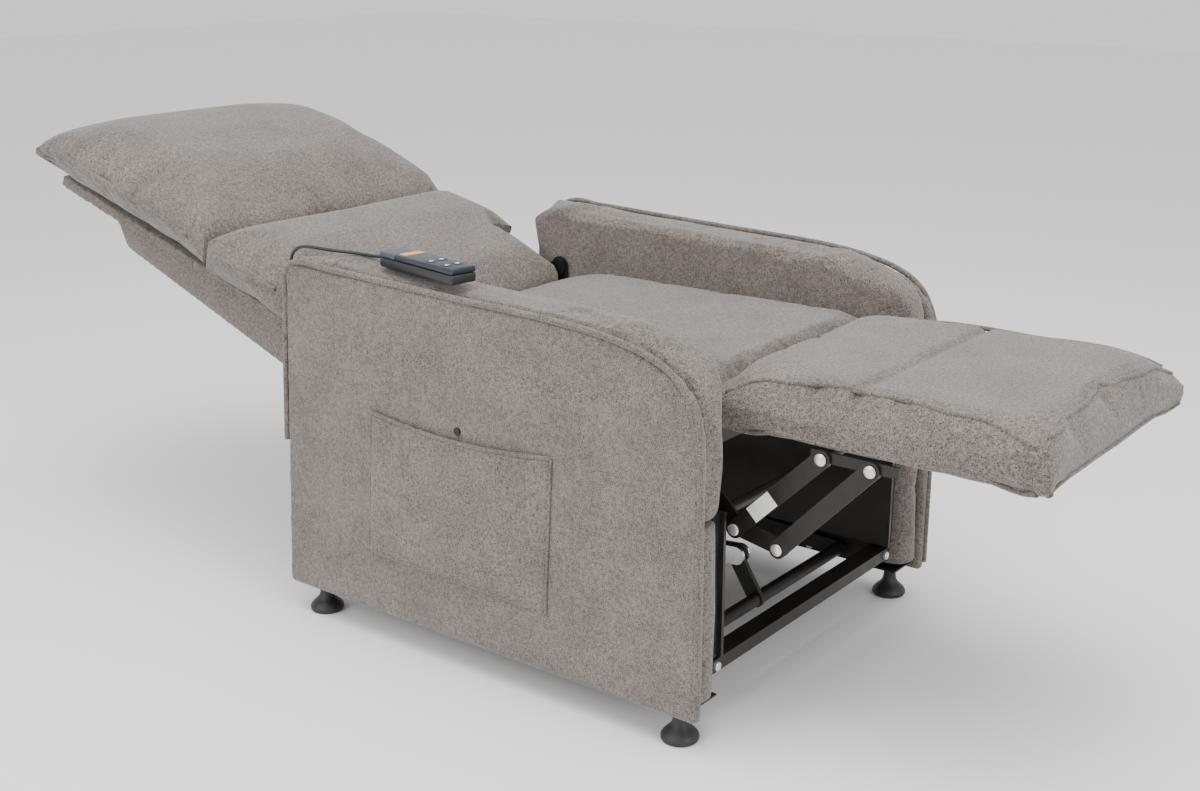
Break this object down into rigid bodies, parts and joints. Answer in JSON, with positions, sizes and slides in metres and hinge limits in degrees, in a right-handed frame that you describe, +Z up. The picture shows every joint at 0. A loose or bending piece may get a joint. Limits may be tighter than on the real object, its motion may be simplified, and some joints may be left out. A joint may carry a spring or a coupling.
{
  "type": "lift recliner chair",
  "caption": "Powered lift recliner: upholstered seat, padded arms, reclining back and folding legrest on a lift linkage with a wired handset.",
  "frame": {"origin": "on the floor at the middle of the whole chair as it lies back", "axes": "+Z up, -Y the way the sitter faces, +X to the sitter's left; the handset and the pocket are on the right arm, at -X"},
  "size_m": [0.71, 1.9765, 0.7526],
  "materials": {
    "upholstery": "grey-beige chenille weave",
    "black_steel": "black powder coat",
    "black_board": "black lined board",
    "plywood": "raw plywood",
    "spring_steel": "drawn wire",
    "zinc": "zinc plated",
    "rod_steel": "ground bar",
    "tube_grey": "anodised",
    "foot_plastic": "fine grain",
    "black_plastic": "fine grain",
    "handset_face": "satin film",
    "button_white": "satin",
    "label": "plain"
  },
  "bodies": {
    "base": {"right_base_rail": "black_steel", "left_base_rail": "black_steel", "front_crossbar": "black_steel", "rear_crossbar": "black_steel", "front_right_foot": "foot_plastic", "front_left_foot": "foot_plastic", "rear_right_foot": "foot_plastic", "rear_left_foot": "foot_plastic", "foot_brackets": "black_steel", "frame_bolts": "zinc"},
    "front_lift_links": {"front_lift_frame": "black_steel"},
    "rear_lift_links": {"rear_lift_links": "black_steel"},
    "lift_actuator": {"lift_motor": "black_plastic", "lift_outer_tube": "tube_grey"},
    "lift_rod": {"lift_push_rod": "rod_steel"},
    "chassis": {"right_side_plate": "black_steel", "left_side_plate": "black_steel", "recline_hinges": "black_steel", "front_seat_rail": "black_steel", "rear_seat_rail": "black_steel", "cross_tubes": "black_steel", "seat_springs": "spring_steel", "seat_cushion": "upholstery", "seat_flap": "upholstery", "right_arm_panel": "upholstery", "right_arm_top_pad": "upholstery", "right_arm_front_roll": "upholstery", "right_arm_board": "black_board", "right_lift_plate": "black_steel", "left_arm_panel": "upholstery", "left_arm_top_pad": "upholstery", "left_arm_front_roll": "upholstery", "left_arm_board": "black_board", "left_lift_plate": "black_steel", "front_posts": "black_steel", "side_pocket": "upholstery", "pocket_snap": "zinc", "handset_lower_case": "black_plastic", "handset_upper_case": "handset_face", "handset_cord": "black_plastic", "control_box": "black_plastic", "mains_inlet": "black_plastic"},
    "backrest": {"back_frame": "plywood", "back_shell": "upholstery", "lumbar_cushion": "upholstery", "head_pillow": "upholstery"},
    "recline_actuator": {"recline_motor": "black_plastic", "recline_outer_tube": "tube_grey"},
    "recline_rod": {"recline_push_rod": "rod_steel"},
    "legrest": {"legrest_board": "plywood", "legrest_pad": "upholstery", "legrest_brackets": "black_steel"},
    "legrest_main_links": {"legrest_main_links": "black_steel"},
    "legrest_rear_links": {"legrest_rear_links": "black_steel", "blank_label": "label"},
    "legrest_front_links": {"legrest_front_links": "black_steel"},
    "back_up_button": {"back_up_button": "button_white"},
    "back_down_button": {"back_down_button": "button_white"},
    "legrest_up_button": {"legrest_up_button": "button_white"},
    "legrest_down_button": {"legrest_down_button": "button_white"}
  },
  "joints": [
    {"name": "lift", "type": "hinge", "parent": "base", "child": "front_lift_links", "pos_m": [0, -0.438, 0.082], "axis": [1, 0, 0], "range_deg": [0, 65]},
    {"name": "chassis_tilt", "type": "hinge", "parent": "front_lift_links", "child": "chassis", "pos_m": [0, -0.17836, 0.09561], "axis": [1, 0, 0], "range_deg": [-37.2, 0]},
    {"name": "rear_lift_link", "type": "hinge", "parent": "base", "child": "rear_lift_links", "pos_m": [0, -0.3567, 0.082], "axis": [1, 0, 0], "range_deg": [0, 54.42]},
    {"name": "lift_actuator_swing", "type": "hinge", "parent": "base", "child": "lift_actuator", "pos_m": [0, 0.172, 0.1], "axis": [1, 0, 0], "range_deg": [-0.05, 0.754]},
    {"name": "lift_rod_slide", "type": "slide", "parent": "lift_actuator", "child": "lift_rod", "axis": [0, -0.9962, 0.0869], "range_m": [0, 0.08589]},
    {"name": "back_recline", "type": "hinge", "parent": "chassis", "child": "backrest", "pos_m": [0, 0.157, 0.5], "axis": [1, 0, 0], "range_deg": [0, 62]},
    {"name": "recline_actuator_swing", "type": "hinge", "parent": "chassis", "child": "recline_actuator", "pos_m": [0, -0.318, 0.3], "axis": [1, 0, 0], "range_deg": [-3.06, 0]},
    {"name": "recline_rod_slide", "type": "slide", "parent": "recline_actuator", "child": "recline_rod", "axis": [0, 0.9772, 0.2121], "range_m": [0, 0.1318]},
    {"name": "legrest_fold", "type": "hinge", "parent": "chassis", "child": "legrest", "pos_m": [0, -0.608, 0.507], "axis": [1, 0, 0], "range_deg": [0, 90]},
    {"name": "legrest_main_link", "type": "hinge", "parent": "chassis", "child": "legrest_main_links", "pos_m": [0, -0.476, 0.373], "axis": [1, 0, 0], "range_deg": [0, 95.1]},
    {"name": "legrest_rear_link", "type": "hinge", "parent": "legrest", "child": "legrest_rear_links", "pos_m": [0, -0.676, 0.434], "axis": [1, 0, 0], "range_deg": [-88.78, 0]},
    {"name": "legrest_front_link", "type": "hinge", "parent": "legrest", "child": "legrest_front_links", "pos_m": [0, -0.749, 0.433], "axis": [1, 0, 0], "range_deg": [-82.36, 0]},
    {"name": "back_up_press", "type": "slide", "parent": "chassis", "child": "back_up_button", "axis": [0, 0, -1], "range_m": [0, 0.0012], "stiffness_N_per_m": 400, "springref_m": -0.0005},
    {"name": "back_down_press", "type": "slide", "parent": "chassis", "child": "back_down_button", "axis": [0, 0, -1], "range_m": [0, 0.0012], "stiffness_N_per_m": 400, "springref_m": -0.0005},
    {"name": "legrest_up_press", "type": "slide", "parent": "chassis", "child": "legrest_up_button", "axis": [0, 0, -1], "range_m": [0, 0.0012], "stiffness_N_per_m": 400, "springref_m": -0.0005},
    {"name": "legrest_down_press", "type": "slide", "parent": "chassis", "child": "legrest_down_button", "axis": [0, 0, -1], "range_m": [0, 0.0012], "stiffness_N_per_m": 400, "springref_m": -0.0005}
  ],
  "couplings": [
    {"joint": "chassis_tilt", "follows": "lift", "ratio": -0.56923},
    {"joint": "rear_lift_link", "follows": "lift", "ratio": 0.83256},
    {"joint": "lift_actuator_swing", "follows": "lift", "ratio": 0.010058},
    {"joint": "lift_rod_slide", "follows": "lift", "m_per_rad": 0.075529},
    {"joint": "recline_actuator_swing", "follows": "back_recline", "ratio": -0.047822},
    {"joint": "recline_rod_slide", "follows": "back_recline", "m_per_rad": 0.12161},
    {"joint": "legrest_main_link", "follows": "legrest_fold", "ratio": 1.0556},
    {"joint": "legrest_rear_link", "follows": "legrest_fold", "ratio": -0.98539},
    {"joint": "legrest_front_link", "follows": "legrest_fold", "ratio": -0.91395}
  ]
}
